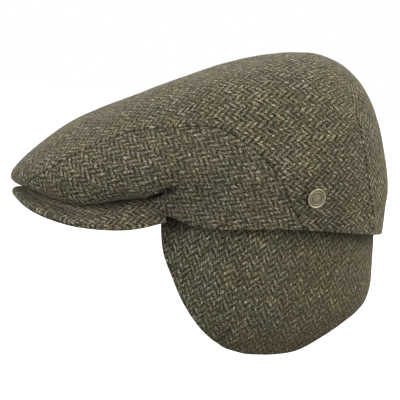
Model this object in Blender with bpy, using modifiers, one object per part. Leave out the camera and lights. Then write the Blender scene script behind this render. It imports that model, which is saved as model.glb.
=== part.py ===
"""Flat cap with earflaps, modelled as its cloth pieces, in metres.

The cap faces -Y, its wearer's left is +X and its crown is +Z. The origin is the centre of the head
opening, in the plane of the rim, which is where a head carries the cap.

The crown is one smooth form that two curved seams cut into a top panel and two leaf-shaped side
panels. Tables of sections give the form, one row for each direction seen from above, and every
length in a table is a share of a named size.
"""
import bmesh
import bpy
import numpy as np
from mathutils import Matrix, Vector

# Driving sizes of the crown, in metres
OPENING_LENGTH = 0.206
OPENING_WIDTH = 0.172
CROWN_HEIGHT = 0.1262
APEX_BACK = 0.036
NOSE_REACH = 0.1702
BACK_REACH = 0.104
SIDE_REACH = 0.092
CLOTH = 0.0025

# Driving sizes of the peak
PEAK_DEPTH = 0.0658
PEAK_DROP = 0.0125
PEAK_THICKNESS = 0.0045
PEAK_ROUNDING = 0.0012
PEAK_ROUND_OVER = 60.0
PEAK_CORNER_ANGLE = 56.0

# Driving sizes of the ear flap
FLAP_DEPTH = 0.0882
FLAP_THICKNESS = 0.0030
FLAP_INSET = 0.0040
FLAP_LEAN = 0.0030

# Driving sizes of the button, and its place on the crown
BUTTON_DIAMETER = 0.0145
BUTTON_HEIGHT = 0.0026
BUTTON_RIM = 0.0010
BUTTON_POST = 0.0030
BUTTON_WASHER = 0.0090
BUTTON_ANGLE = 125.0
BUTTON_ROW = 2.32

# Clearances that the pieces keep to each other
FIT = 0.0003
SEAM_GAP = 0.0005
WASHER_FIT = 0.0007

# Sections of the crown. Angles are directions from above in degrees: 0 the front, 90 the side.
# square is the power of the widest outline: 2 is an oval, more is squarer.
# Columns that end in _up are heights as shares of CROWN_HEIGHT.
# tuck_out and fold_out are shares of the way from the rim out to the widest outline.
# shoulder_in, brow_in and crest_in are shares of the way from the apex to the widest outline.
CROWN_COLUMNS = (
    "angle", "square", "rim_up", "tuck_out", "tuck_up", "fold_out", "fold_up", "wide_up",
    "shoulder_in", "shoulder_up", "brow_in", "brow_up", "crest_in", "crest_up",
)
CROWN_SECTIONS = (
    (0, 2.30, 0.134, 0.45, 0.112, 0.88, 0.080, 0.128, 0.880, 0.412, 0.695, 0.590, 0.360, 0.845),
    (15, 2.30, 0.124, 0.42, 0.097, 0.85, 0.068, 0.150, 0.880, 0.405, 0.700, 0.592, 0.370, 0.846),
    (30, 2.30, 0.096, 0.36, 0.072, 0.84, 0.030, 0.165, 0.890, 0.410, 0.710, 0.635, 0.390, 0.866),
    (45, 2.25, 0.054, 0.16, 0.085, 0.80, 0.090, 0.235, 0.920, 0.440, 0.750, 0.668, 0.410, 0.885),
    (60, 2.20, 0.010, 0.12, 0.090, 0.58, 0.190, 0.300, 0.945, 0.465, 0.785, 0.708, 0.440, 0.903),
    (72, 2.15, -0.012, 0.18, 0.086, 0.60, 0.185, 0.305, 0.950, 0.484, 0.795, 0.736, 0.445, 0.918),
    (90, 2.10, 0.000, 0.28, 0.085, 0.62, 0.170, 0.290, 0.955, 0.495, 0.800, 0.762, 0.450, 0.936),
    (120, 2.05, 0.030, 0.28, 0.095, 0.62, 0.175, 0.280, 0.940, 0.505, 0.785, 0.765, 0.460, 0.940),
    (150, 2.00, 0.022, 0.30, 0.090, 0.66, 0.175, 0.270, 0.920, 0.512, 0.755, 0.750, 0.470, 0.920),
    (180, 2.00, 0.006, 0.40, 0.090, 0.80, 0.180, 0.250, 0.905, 0.520, 0.735, 0.735, 0.480, 0.904),
)

# Rows of the crown's profile, from the rim up to the apex
RIM_ROW = 0.0
APEX_ROW = 7.0

# The seam between the top panel and a side panel: direction, and height as a row of the profile
SEAM_COLUMNS = ("angle", "row")
SEAM_LINE = (
    (16.5, 2.00),
    (18.0, 2.75),
    (23.0, 3.20),
    (31.0, 3.85),
    (42.0, 4.19),
    (57.0, 4.25),
    (72.0, 4.24),
    (84.0, 4.07),
    (95.0, 3.74),
    (103.5, 3.34),
    (109.0, 2.82),
    (114.0, 1.66),
    (118.0, 0.92),
    (121.0, 0.00),
)

# Sections of the peak. turn is the direction as a share of PEAK_CORNER_ANGLE, depth is a share of
# PEAK_DEPTH beyond the rim, and edge_up is the height of its edge as a share of PEAK_DROP.
PEAK_COLUMNS = ("turn", "depth", "edge_up")
PEAK_SECTIONS = (
    (0.00, 1.000, 0.62),
    (0.19, 0.955, 0.42),
    (0.34, 0.884, 0.03),
    (0.48, 0.788, -0.27),
    (0.58, 0.692, -0.43),
    (0.70, 0.561, -0.46),
    (0.83, 0.397, -0.33),
    (0.93, 0.225, -0.08),
    (1.00, 0.030, 0.25),
)

# The ear flap: direction, depth of its lower edge below the rim as a share of FLAP_DEPTH, how far
# it hangs in from the rim's inner face as a share of FLAP_INSET, and how far its lower edge leans in
# as a share of FLAP_LEAN
FLAP_COLUMNS = ("angle", "depth", "inset", "lean")
FLAP_SECTIONS = (
    (54.0, 0.10, 0.10, 1.00),
    (56.0, 0.29, 0.10, 1.00),
    (60.0, 0.43, 0.10, 1.00),
    (65.0, 0.56, 0.10, 1.00),
    (71.0, 0.69, 0.10, 1.00),
    (78.0, 0.80, 0.10, 1.00),
    (88.0, 0.91, 0.15, 1.00),
    (99.0, 0.98, 0.30, 1.00),
    (111.0, 1.00, 0.60, 0.90),
    (123.0, 0.98, 0.85, 0.60),
    (135.0, 0.89, 0.90, 0.20),
    (150.0, 0.74, 0.85, -0.40),
    (165.0, 0.60, 0.75, -0.90),
    (180.0, 0.53, 0.70, -1.00),
)
FLAP_TUCK_ROW = 1.0

# The button's face from its centre out: distance as a share of its radius, height of BUTTON_RIM
BUTTON_COLUMNS = ("out", "up")
BUTTON_FACE = (
    (0.00, 0.0),
    (0.50, 0.0),
    (0.55, 0.6),
    (0.62, 0.6),
    (0.67, 0.0),
    (0.78, 0.0),
    (0.85, 1.0),
    (0.94, 1.0),
    (1.00, 0.0),
)
BUTTON_BACK = 0.90

# Grid counts of the sheets
SEAM_STEPS = 22
NOSE_STEPS = 3
BACK_STEPS = 12
SIDE_ROWS = 8
TOP_ROWS = 13
PEAK_STEPS = 16
PEAK_ROWS = 4
FLAP_STEPS = 30
FLAP_ROWS = 7
TURNED_STEPS = 24
HOLE_STEPS = 12

# Sampling of the seam between two rows of its table, and steps for slopes, in degrees and rows
SEAM_FINENESS = 40
TURN_STEP = 0.25
ROW_STEP = 0.01

# Points closer than this, in metres, are one point
SAME = 0.000001

CLOTH_COLOUR = (0.105, 0.095, 0.068, 1.0)
FLAP_COLOUR = (0.090, 0.082, 0.060, 1.0)
METAL_COLOUR = (0.22, 0.21, 0.19, 1.0)


def remove_scene_objects():
    for item in list(bpy.data.objects):
        bpy.data.objects.remove(item, do_unlink=True)


def new_collection(name):
    collection = bpy.data.collections.new(name)
    bpy.context.scene.collection.children.link(collection)
    return collection


def new_material(name, colour, roughness, metallic=0.0):
    material = bpy.data.materials.new(name)
    material.use_nodes = True
    shader = material.node_tree.nodes["Principled BSDF"]
    shader.inputs["Base Color"].default_value = colour
    shader.inputs["Roughness"].default_value = roughness
    shader.inputs["Metallic"].default_value = metallic
    return material


def table_column(table, columns, name):
    """One named column of a table as an array."""
    return np.array([row[columns.index(name)] for row in table], dtype=float)


def spline(knots, values, at, segment):
    """Natural cubic spline through values at knots, for a stack of curves at once.

    knots is (stack, count), values is (stack, count, width), at and segment are (stack, places):
    each place has its parameter and the number of the span between knots that holds it.
    """
    span = np.diff(knots, axis=-1)
    slope = np.diff(values, axis=-2) / span[..., None]
    count = knots.shape[-1]
    system = np.zeros(knots.shape[:-1] + (count, count))
    target = np.zeros_like(values)
    inner = np.arange(1, count - 1)
    system[..., 0, 0] = 1.0
    system[..., -1, -1] = 1.0
    system[..., inner, inner - 1] = span[..., :-1]
    system[..., inner, inner] = 2.0 * (span[..., :-1] + span[..., 1:])
    system[..., inner, inner + 1] = span[..., 1:]
    target[..., 1:-1, :] = 6.0 * np.diff(slope, axis=-2)
    bend = np.linalg.solve(system, target)
    width = values.shape[-1]
    low = np.repeat(segment[..., None], width, axis=-1)
    start = np.take_along_axis(knots, segment, -1)
    length = np.take_along_axis(span, segment, -1)
    after = ((at - start) / length)[..., None]
    before = 1.0 - after
    curve = before * np.take_along_axis(values, low, -2) + after * np.take_along_axis(values, low + 1, -2)
    bend_low = np.take_along_axis(bend, low, -2)
    bend_high = np.take_along_axis(bend, low + 1, -2)
    sag = (before**3 - before) * bend_low + (after**3 - after) * bend_high
    return curve + sag * (length**2 / 6.0)[..., None]


def table_curve(knots, values, at):
    """Natural cubic spline of one table column, or of several side by side, at the given places."""
    flat = np.atleast_1d(at).ravel()
    columns = values.reshape(len(knots), -1)
    segment = np.clip(np.searchsorted(knots, flat, side="right") - 1, 0, len(knots) - 2)
    result = spline(knots[None], columns[None], flat[None], segment[None])[0]
    return result.reshape(np.shape(at) + values.shape[1:])


def mirrored_curve(angles, values, at):
    """The same for a table from 0 to 180 degrees that is level across the plane of symmetry."""
    around = np.concatenate((-angles[:0:-1], angles, 360.0 - angles[-2::-1]))
    mirrored = np.concatenate((values[:0:-1], values, values[-2::-1]))
    return table_curve(around, mirrored, at)


def level_start_curve(places, values, at):
    """The same for a table that is level across its first row only."""
    return table_curve(np.concatenate((-places[:0:-1], places)), np.concatenate((values[:0:-1], values)), at)


def crown_column(name, angle):
    angles = table_column(CROWN_SECTIONS, CROWN_COLUMNS, "angle")
    return mirrored_curve(angles, table_column(CROWN_SECTIONS, CROWN_COLUMNS, name), angle)


def direction(angle):
    """Unit vector from above for a direction in degrees, 0 to the front and 90 to the left."""
    turn = np.radians(angle)
    return np.stack((np.sin(turn), -np.cos(turn)), axis=-1)


def oval(angle, half_width, half_length, power):
    """Reach of the curve |x/half_width|^power + |y/half_length|^power = 1 in a direction."""
    turn = np.radians(angle)
    across = np.abs(np.sin(turn)) / half_width
    along = np.abs(np.cos(turn)) / half_length
    return (across**power + along**power) ** (-1.0 / power)


def rim_reach(angle):
    return oval(angle, OPENING_WIDTH / 2, OPENING_LENGTH / 2, 2.0)


def rim_height(angle):
    return crown_column("rim_up", angle) * CROWN_HEIGHT


def widest_reach(angle):
    length = np.where(np.cos(np.radians(angle)) > 0.0, NOSE_REACH, BACK_REACH)
    return oval(angle, SIDE_REACH, length, crown_column("square", angle))


def crown_stations(angle):
    """The eight named points of the profile in each direction, rim to apex, then three beyond it.

    The three beyond the apex mirror the ones before it, which keeps the apex level.
    """
    angle = np.asarray(angle, dtype=float)
    rim = rim_reach(angle)
    wide = widest_reach(angle)
    ray = direction(angle)
    apex = np.array((0.0, APEX_BACK))
    rows = [np.concatenate((rim[:, None] * ray, rim_height(angle)[:, None]), axis=1)]
    for name in ("tuck", "fold"):
        reach = rim + crown_column(name + "_out", angle) * (wide - rim)
        height = crown_column(name + "_up", angle) * CROWN_HEIGHT
        rows.append(np.concatenate((reach[:, None] * ray, height[:, None]), axis=1))
    edge = wide[:, None] * ray
    rows.append(np.concatenate((edge, (crown_column("wide_up", angle) * CROWN_HEIGHT)[:, None]), axis=1))
    for name in ("shoulder", "brow", "crest"):
        plan = apex + crown_column(name + "_in", angle)[:, None] * (edge - apex)
        height = crown_column(name + "_up", angle) * CROWN_HEIGHT
        rows.append(np.concatenate((plan, height[:, None]), axis=1))
    top = np.array((0.0, APEX_BACK, CROWN_HEIGHT))
    rows.append(np.broadcast_to(top, rows[0].shape))
    for row in rows[-2:-5:-1]:
        beyond = row.copy()
        beyond[:, :2] = 2.0 * apex - row[:, :2]
        rows.append(beyond)
    return np.stack(rows, axis=1)


def crown_points(angle, row):
    """Points of the crown's outer face for directions (n) and rows of the profile (n, m)."""
    stations = crown_stations(angle)
    row = np.asarray(row, dtype=float).reshape(len(stations), -1)
    chord = np.sqrt(np.linalg.norm(np.diff(stations, axis=1), axis=2))
    knots = np.concatenate((np.zeros((len(stations), 1)), np.cumsum(chord, axis=1)), axis=1)
    segment = np.clip(np.floor(row).astype(int), 0, int(APEX_ROW) - 1)
    start = np.take_along_axis(knots, segment, 1)
    at = start + (row - segment) * np.take_along_axis(chord, segment, 1)
    return spline(knots, stations, at, segment)


def crown_normals(angle, row):
    """Outward unit normals of the crown's outer face, straight up at the apex."""
    angle = np.asarray(angle, dtype=float)
    row = np.asarray(row, dtype=float).reshape(len(angle), -1)
    around = crown_points(angle + TURN_STEP, row) - crown_points(angle - TURN_STEP, row)
    low = np.clip(row - ROW_STEP, RIM_ROW, APEX_ROW - 3 * ROW_STEP)
    upward = crown_points(angle, low + 2 * ROW_STEP) - crown_points(angle, low)
    normal = np.cross(around, upward)
    normal[row > APEX_ROW - ROW_STEP] = (0.0, 0.0, 1.0)
    return normal / np.linalg.norm(normal, axis=-1)[..., None]


def seam_line():
    """Directions and rows of the seam, from the rim under the nose round to the rim at the side.

    The first SIDE_ROWS steps climb from the rim to the fold, and the rest are even steps of length.
    """
    line = np.stack([table_column(SEAM_LINE, SEAM_COLUMNS, name) for name in SEAM_COLUMNS], axis=1)
    place = np.arange(len(line), dtype=float)
    fine = np.linspace(0.0, place[-1], SEAM_FINENESS * len(line))
    angle, row = table_curve(place, line, fine).T
    row = np.clip(row, RIM_ROW, APEX_ROW)
    points = crown_points(angle, row)[:, 0]
    length = np.concatenate(([0.0], np.cumsum(np.linalg.norm(np.diff(points, axis=0), axis=1))))
    even = np.linspace(0.0, length[-1], SEAM_STEPS + 1)
    climb = np.linspace(RIM_ROW, line[0, 1], SIDE_ROWS + 1)[:-1]
    angle = np.concatenate((np.full(SIDE_ROWS, line[0, 0]), np.interp(even, length, angle)))
    row = np.concatenate((climb, np.interp(even, length, row)))
    return angle, row


def seam_edge(angle, row, side):
    """The seam's points moved half its gap over the crown, to the side panel (1) or off it (-1)."""
    points = crown_points(angle, row)[:, 0]
    normals = crown_normals(angle, row)[:, 0]
    along = np.gradient(points, axis=0)
    across = np.cross(along, normals)
    across /= np.linalg.norm(across, axis=1)[:, None]
    return points + across * (side * SEAM_GAP / 2)


def open_sheet(grids, turned=False):
    """One open sheet from grids of points and normals, merged where the grids share points."""
    model = bmesh.new()
    outward = model.verts.layers.float_vector.new("outward")
    for points, normals in grids:
        rows, columns = points.shape[:2]
        corner = []
        for point, normal in zip(points.reshape(-1, 3).tolist(), normals.reshape(-1, 3).tolist()):
            vert = model.verts.new(point)
            vert[outward] = normal
            corner.append(vert)
        for i in range(rows - 1):
            for j in range(columns - 1):
                low, high = i * columns + j, (i + 1) * columns + j
                face = (corner[low], corner[low + 1], corner[high + 1], corner[high])
                model.faces.new(face[::-1] if turned else face)
    bmesh.ops.remove_doubles(model, verts=model.verts, dist=SAME)
    bmesh.ops.dissolve_degenerate(model, edges=model.edges, dist=SAME)
    return model, outward


def close_wall(model, outward, thickness):
    """Copy the sheet inward along its normals and join its free edges to the copy.

    Edges in the plane of symmetry stay open for the mirror.
    """
    faces = list(model.faces)
    free = [edge for edge in model.edges if edge.is_boundary]
    free = [edge for edge in free if any(abs(vert.co.x) > SAME for vert in edge.verts)]
    twin = {vert: model.verts.new(vert.co - thickness * vert[outward]) for vert in list(model.verts)}
    for face in faces:
        model.faces.new([twin[vert] for vert in reversed(face.verts)])
    for edge in free:
        loop = edge.link_loops[0]
        start, end = loop.vert, loop.link_loop_next.vert
        model.faces.new((end, start, twin[start], twin[end]))


def to_mesh(name, model):
    mesh = bpy.data.meshes.new(name)
    model.to_mesh(mesh)
    model.free()
    return mesh


def cloth_wall(name, grids, turned=False):
    """A closed cloth wall on the inner side of a lofted sheet, even where two panels meet."""
    model, outward = open_sheet(grids, turned)
    close_wall(model, outward, CLOTH)
    return to_mesh(name, model)


def plain_sheet(name, points, turned=False):
    """An open sheet whose thickness a modifier adds."""
    model, _ = open_sheet(((points, np.zeros_like(points)),), turned)
    return to_mesh(name, model)


def add_piece(name, mesh, material, collection):
    piece = bpy.data.objects.new(name, mesh)
    mesh.materials.append(material)
    mesh.shade_smooth()
    collection.objects.link(piece)
    return piece


def add_mirror(piece):
    mirror = piece.modifiers.new("Other half", "MIRROR")
    mirror.use_axis = (True, False, False)
    mirror.merge_threshold = SAME * 10


def add_wall(piece, thickness):
    """Thickness laid on the inner side of the sheet, its outer face staying where it is."""
    wall = piece.modifiers.new("Wall", "SOLIDIFY")
    wall.thickness = thickness
    wall.offset = -1.0
    wall.use_even_offset = True
    wall.use_quality_normals = True


def crown_grid(angle, rows):
    """Points and normals of the crown for directions (n) and rows (n, m), as (m, n, 3) grids."""
    return crown_points(angle, rows).transpose(1, 0, 2), crown_normals(angle, rows).transpose(1, 0, 2)


def make_crown_top(material, collection):
    """The top panel: nose, crown, rear quarters and back, open along both seams and at the rim."""
    seam_angle, seam_row = seam_line()
    edge = seam_edge(seam_angle, seam_row, side=-1)
    corner = SIDE_ROWS
    nose_angle = np.linspace(0.0, seam_angle[0], NOSE_STEPS + 1)
    back_angle = np.linspace(seam_angle[-1], 180.0, BACK_STEPS + 1)[1:]
    angle = np.concatenate((nose_angle[:-1], seam_angle[corner:], back_angle))
    fold_row = seam_row[corner]
    start = np.concatenate((np.full(NOSE_STEPS, fold_row), seam_row[corner:], np.zeros(BACK_STEPS)))
    share = np.linspace(0.0, 1.0, TOP_ROWS + 1)
    over, over_normals = crown_grid(angle, start[:, None] + share * (APEX_ROW - start[:, None]))
    over[0, NOSE_STEPS:NOSE_STEPS + SEAM_STEPS + 1] = edge[corner:]
    under_rows = np.tile(seam_row[:corner + 1], (NOSE_STEPS + 1, 1))
    under, under_normals = crown_grid(nose_angle, under_rows)
    under[:, -1] = edge[:corner + 1]
    grids = ((over, over_normals), (under, under_normals))
    for points, normals in grids:
        middle = np.abs(points[..., 0]) < SAME
        points[middle, 0] = 0.0
        normals[middle, 0] = 0.0
    piece = add_piece("crown_top", cloth_wall("crown_top", grids), material, collection)
    add_mirror(piece)
    return piece


def make_side_panel(name, side, material, collection):
    """A leaf-shaped side panel, from the rim up to the seam; side is 1 left and -1 right."""
    seam_angle, seam_row = seam_line()
    edge = seam_edge(seam_angle, seam_row, side=1)
    corner = SIDE_ROWS
    angle, top_row = seam_angle[corner:], seam_row[corner:]
    share = np.linspace(0.0, 1.0, SIDE_ROWS + 1)
    points, normals = crown_grid(angle, share * top_row[:, None])
    points[-1] = edge[corner:]
    points[:, 0] = edge[:corner + 1]
    points[:, -1] = edge[-1]
    mirror = np.array((side, 1.0, 1.0))
    grids = ((points * mirror, normals * mirror),)
    mesh = cloth_wall(name, grids, turned=side < 0)
    return add_piece(name, mesh, material, collection)


def make_peak(material, collection):
    """The peak: its top face runs from under the rim out to its edge, and its thickness hangs below."""
    turn = table_column(PEAK_SECTIONS, PEAK_COLUMNS, "turn")
    share = np.sin(np.linspace(0.0, np.pi / 2, PEAK_STEPS + 1))
    angle = share * PEAK_CORNER_ANGLE
    depth = level_start_curve(turn, table_column(PEAK_SECTIONS, PEAK_COLUMNS, "depth"), share)
    edge_up = level_start_curve(turn, table_column(PEAK_SECTIONS, PEAK_COLUMNS, "edge_up"), share)
    inner = rim_reach(angle) + FIT
    outer = inner + depth * PEAK_DEPTH
    across = np.linspace(0.0, 1.0, PEAK_ROWS + 1)[:, None]
    reach = inner + across * (outer - inner)
    inner_up = rim_height(angle) - FIT * 2
    height = inner_up + across * (edge_up * PEAK_DROP - inner_up)
    plan = reach[..., None] * direction(angle)[None]
    points = np.concatenate((plan, height[..., None]), axis=2)
    piece = add_piece("peak", plain_sheet("peak", points, turned=True), material, collection)
    add_mirror(piece)
    add_wall(piece, PEAK_THICKNESS)
    rounding = piece.modifiers.new("Rounded edge", "BEVEL")
    rounding.width = PEAK_ROUNDING
    rounding.segments = 2
    rounding.limit_method = "ANGLE"
    rounding.angle_limit = np.radians(PEAK_ROUND_OVER)
    return piece


def make_ear_flap(material, collection):
    """The ear flap: one cloth wall from temple to temple round the nape.

    Its top edge is tucked against the crown's inner face, and from the rim down it hangs free.
    """
    edge, depths, insets, leans = (table_column(FLAP_SECTIONS, FLAP_COLUMNS, name) for name in FLAP_COLUMNS)
    place = np.linspace(0.0, len(edge) - 1, FLAP_STEPS + 1)
    angle = np.interp(place, np.arange(len(edge)), edge)
    depth = np.interp(angle, edge, depths) * FLAP_DEPTH
    inset = np.interp(angle, edge, insets) * FLAP_INSET
    lean = np.interp(angle, edge, leans) * FLAP_LEAN
    face = rim_reach(angle) - CLOTH - FIT
    fall = np.linspace(1.0, 0.0, FLAP_ROWS)[:, None] * depth
    reach = face - inset - lean * fall / FLAP_DEPTH
    plan = reach[..., None] * direction(angle)[None]
    hanging = np.concatenate((plan, (rim_height(angle) - fall)[..., None]), axis=2)
    tuck_wall = crown_points(angle, np.full((len(angle), 1), FLAP_TUCK_ROW))[:, 0]
    tuck_reach = np.linalg.norm(tuck_wall[:, :2], axis=1) - CLOTH - 2 * FIT
    tuck = np.concatenate((tuck_reach[:, None] * direction(angle), tuck_wall[:, 2:]), axis=1)
    points = np.concatenate((hanging, tuck[None]), axis=0)
    piece = add_piece("ear_flap", plain_sheet("ear_flap", points), material, collection)
    add_mirror(piece)
    add_wall(piece, FLAP_THICKNESS)
    return piece


def button_frame():
    """Matrix whose origin is the crown's face at the button and whose Z points straight out of it."""
    centre = Vector(crown_points([BUTTON_ANGLE], [[BUTTON_ROW]])[0, 0])
    outward = Vector(crown_normals([BUTTON_ANGLE], [[BUTTON_ROW]])[0, 0])
    return Matrix.Translation(centre) @ outward.to_track_quat("Z", "Y").to_matrix().to_4x4()


def make_button(material, collection):
    """A turned disc with a raised rim and two rings, its post through the cloth and its washer."""
    radius = BUTTON_DIAMETER / 2
    face = FIT + BUTTON_HEIGHT - BUTTON_RIM
    back = -CLOTH - WASHER_FIT
    out, up = (table_column(BUTTON_FACE, BUTTON_COLUMNS, name) for name in BUTTON_COLUMNS)
    profile = list(zip(radius * out, face + BUTTON_RIM * up))
    profile += [
        (radius, face - BUTTON_RIM / 2),
        (radius * BUTTON_BACK, FIT),
        (BUTTON_POST / 2, FIT),
        (BUTTON_POST / 2, back),
        (BUTTON_WASHER / 2, back),
        (BUTTON_WASHER / 2, back - BUTTON_RIM),
        (0.0, back - BUTTON_RIM),
    ]
    mesh = bpy.data.meshes.new("button")
    points = [(reach, 0.0, height) for reach, height in profile]
    mesh.from_pydata(points, [(i, i + 1) for i in range(len(points) - 1)], [])
    piece = add_piece("button", mesh, material, collection)
    piece.matrix_world = button_frame()
    turning = piece.modifiers.new("Turned", "SCREW")
    turning.steps = TURNED_STEPS
    turning.render_steps = TURNED_STEPS
    turning.use_merge_vertices = True
    turning.merge_threshold = SAME * 10
    return piece


def punch_button_hole(cloth, cutters):
    """A hole through the cloth for the button's post, with the usual clearance."""
    model = bmesh.new()
    radius = BUTTON_POST / 2 + FIT
    size = {"radius1": radius, "radius2": radius, "depth": CLOTH + BUTTON_DIAMETER}
    bmesh.ops.create_cone(model, cap_ends=True, segments=HOLE_STEPS, **size)
    punch = bpy.data.objects.new("button_hole", to_mesh("button_hole", model))
    punch.matrix_world = button_frame()
    punch.hide_render = True
    punch.display_type = "WIRE"
    cutters.objects.link(punch)
    cut = cloth.modifiers.new("Button hole", "BOOLEAN")
    cut.operation = "DIFFERENCE"
    cut.object = punch


def main():
    remove_scene_objects()
    parts = new_collection("flat_cap")
    cutters = new_collection("cutters")
    cloth = new_material("herringbone", CLOTH_COLOUR, 0.9)
    flap_cloth = new_material("flap herringbone", FLAP_COLOUR, 0.9)
    metal = new_material("button metal", METAL_COLOUR, 0.4, 1.0)
    crown = make_crown_top(cloth, parts)
    make_side_panel("side_panel_left", 1, cloth, parts)
    make_side_panel("side_panel_right", -1, cloth, parts)
    make_peak(cloth, parts)
    make_ear_flap(flap_cloth, parts)
    make_button(metal, parts)
    punch_button_hole(crown, cutters)


main()
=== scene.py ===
# %% [markdown]
# A flat cap with earflaps, dressed in herringbone tweed.
#
# Each piece of cloth is a surface worked out with numpy, given a thickness and a turned edge, and
# covered with a weave that is laid on it as a cutter lays straight cloth on a bent form. Distances are
# metres. The cap faces -Y, its wearer's left is +X and the origin is the centre of the head opening.

import bpy
import numpy as np
from mathutils import Matrix, Vector


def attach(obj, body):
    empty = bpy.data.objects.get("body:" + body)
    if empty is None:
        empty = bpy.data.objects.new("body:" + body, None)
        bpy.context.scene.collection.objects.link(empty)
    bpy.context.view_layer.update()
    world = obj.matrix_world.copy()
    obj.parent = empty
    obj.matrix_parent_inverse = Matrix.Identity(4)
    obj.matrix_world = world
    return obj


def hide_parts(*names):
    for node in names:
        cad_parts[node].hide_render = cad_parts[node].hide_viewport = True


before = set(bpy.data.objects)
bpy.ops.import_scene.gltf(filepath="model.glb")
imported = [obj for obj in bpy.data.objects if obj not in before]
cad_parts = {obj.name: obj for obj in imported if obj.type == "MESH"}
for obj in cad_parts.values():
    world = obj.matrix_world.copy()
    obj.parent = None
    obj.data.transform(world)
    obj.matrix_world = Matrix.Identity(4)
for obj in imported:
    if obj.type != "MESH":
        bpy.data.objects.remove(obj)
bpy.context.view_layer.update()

print("Packed nodes:", ", ".join(sorted(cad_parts)))

# %% Small functions that the cells below share


def unit(vectors):
    """Each vector divided by its own length."""
    return vectors / np.maximum(np.linalg.norm(vectors, axis=-1, keepdims=True), 1e-12)


def between(value, start, end):
    """Share from 0 at start to 1 at end, held inside that range."""
    return np.clip((value - start) / (end - start), 0.0, 1.0)


def ramp(value, start, end):
    """Smooth step from 0 at start to 1 at end: 3 x^2 - 2 x^3."""
    x = between(value, start, end)
    return x * x * (3.0 - 2.0 * x)


def bell(value, width, middle=0.0):
    """exp(-((value - middle) / width)^2)."""
    return np.exp(-(((value - middle) / width) ** 2))


def flatten(vectors, normal):
    """The part of each vector that lies across a normal, as a unit vector."""
    return unit(vectors - (vectors * normal).sum(-1, keepdims=True) * normal)


def doubled(corner):
    """Twice the area of each triangle along its normal: (b - a) x (c - a)."""
    return np.cross(corner[:, 1] - corner[:, 0], corner[:, 2] - corner[:, 0])


def lengths(line):
    """Length along a line up to each of its points."""
    return np.append(0.0, np.cumsum(np.linalg.norm(np.diff(line, axis=0), axis=1)))


def direction(angle):
    """Unit vector from above: (sin angle, -cos angle)."""
    turn = np.radians(angle)
    return np.stack((np.sin(turn), -np.cos(turn)), axis=-1)


def standing(angle, reach, height):
    """Points at a reach from the middle in a direction, and at a height."""
    return np.concatenate((reach[..., None] * direction(angle), height[..., None]), axis=-1)


def bearing(points):
    """The angle of each point's direction in degrees, 0 in front and 180 behind on both sides."""
    return np.degrees(np.arctan2(np.abs(points[:, 0]), -points[:, 1]))


def to_left(points):
    """The points with those on the wearer's right mirrored to the left."""
    return np.column_stack((np.abs(points[:, 0]), points[:, 1:]))


def put(name, data):
    """Put a mesh, a lamp or a camera in the scene as an object."""
    thing = bpy.data.objects.new(name, data)
    bpy.context.scene.collection.objects.link(thing)
    return thing


# %% [markdown]
# The camera stands at the wearer's left, a little behind and above the rim, with a long lens. The cap
# is pictured with its front lifted a few degrees, which is a roll of the camera.

# %% Place the camera
AZIMUTH, ELEVATION, ROLL = np.radians((93.0, 4.5, 5.6))
DISTANCE, SENSOR_MM, PIXEL, PICTURE = 1.45, 36.0, 0.00073, 400
ORIGIN_RIGHT, ORIGIN_DOWN = 241.0, 220.0


def place_camera():
    """Aim the camera so that one pixel at the aim spans PIXEL metres: lens = sensor * distance / width."""
    data = bpy.data.cameras.new("camera")
    data.sensor_width, data.lens = SENSOR_MM, SENSOR_MM * DISTANCE / (PICTURE * PIXEL)
    camera = bpy.context.scene.camera = put("camera", data)
    matrix = Matrix()
    for axis, angle in (("Z", AZIMUTH), ("X", np.pi / 2 - ELEVATION), ("Z", ROLL)):
        matrix = matrix @ Matrix.Rotation(angle, 4, axis)
    shift = ((PICTURE / 2 - ORIGIN_RIGHT) * PIXEL, (ORIGIN_DOWN - PICTURE / 2) * PIXEL, DISTANCE)
    camera.matrix_world = matrix @ Matrix.Translation(shift)
    print("Lens, mm:", round(data.lens, 1))


place_camera()

# %% [markdown]
# The crown is one smooth form. Its table has a row for each direction seen from above, 0 at the front
# and 180 at the back: the angle, the power of the widest outline, and for each station a share outwards
# and a share of the height. The stations are rim, tuck, fold, widest, shoulder, brow and crest. Rim and
# widest have a height only. Tuck and fold lie between these two, and the last three between the apex
# and the widest outline. A seam and a crease are lists of directions and rows, a dart is one of rows and
# directions. A row counts the stations, from 0 at the rim to 7 at the apex.

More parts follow.
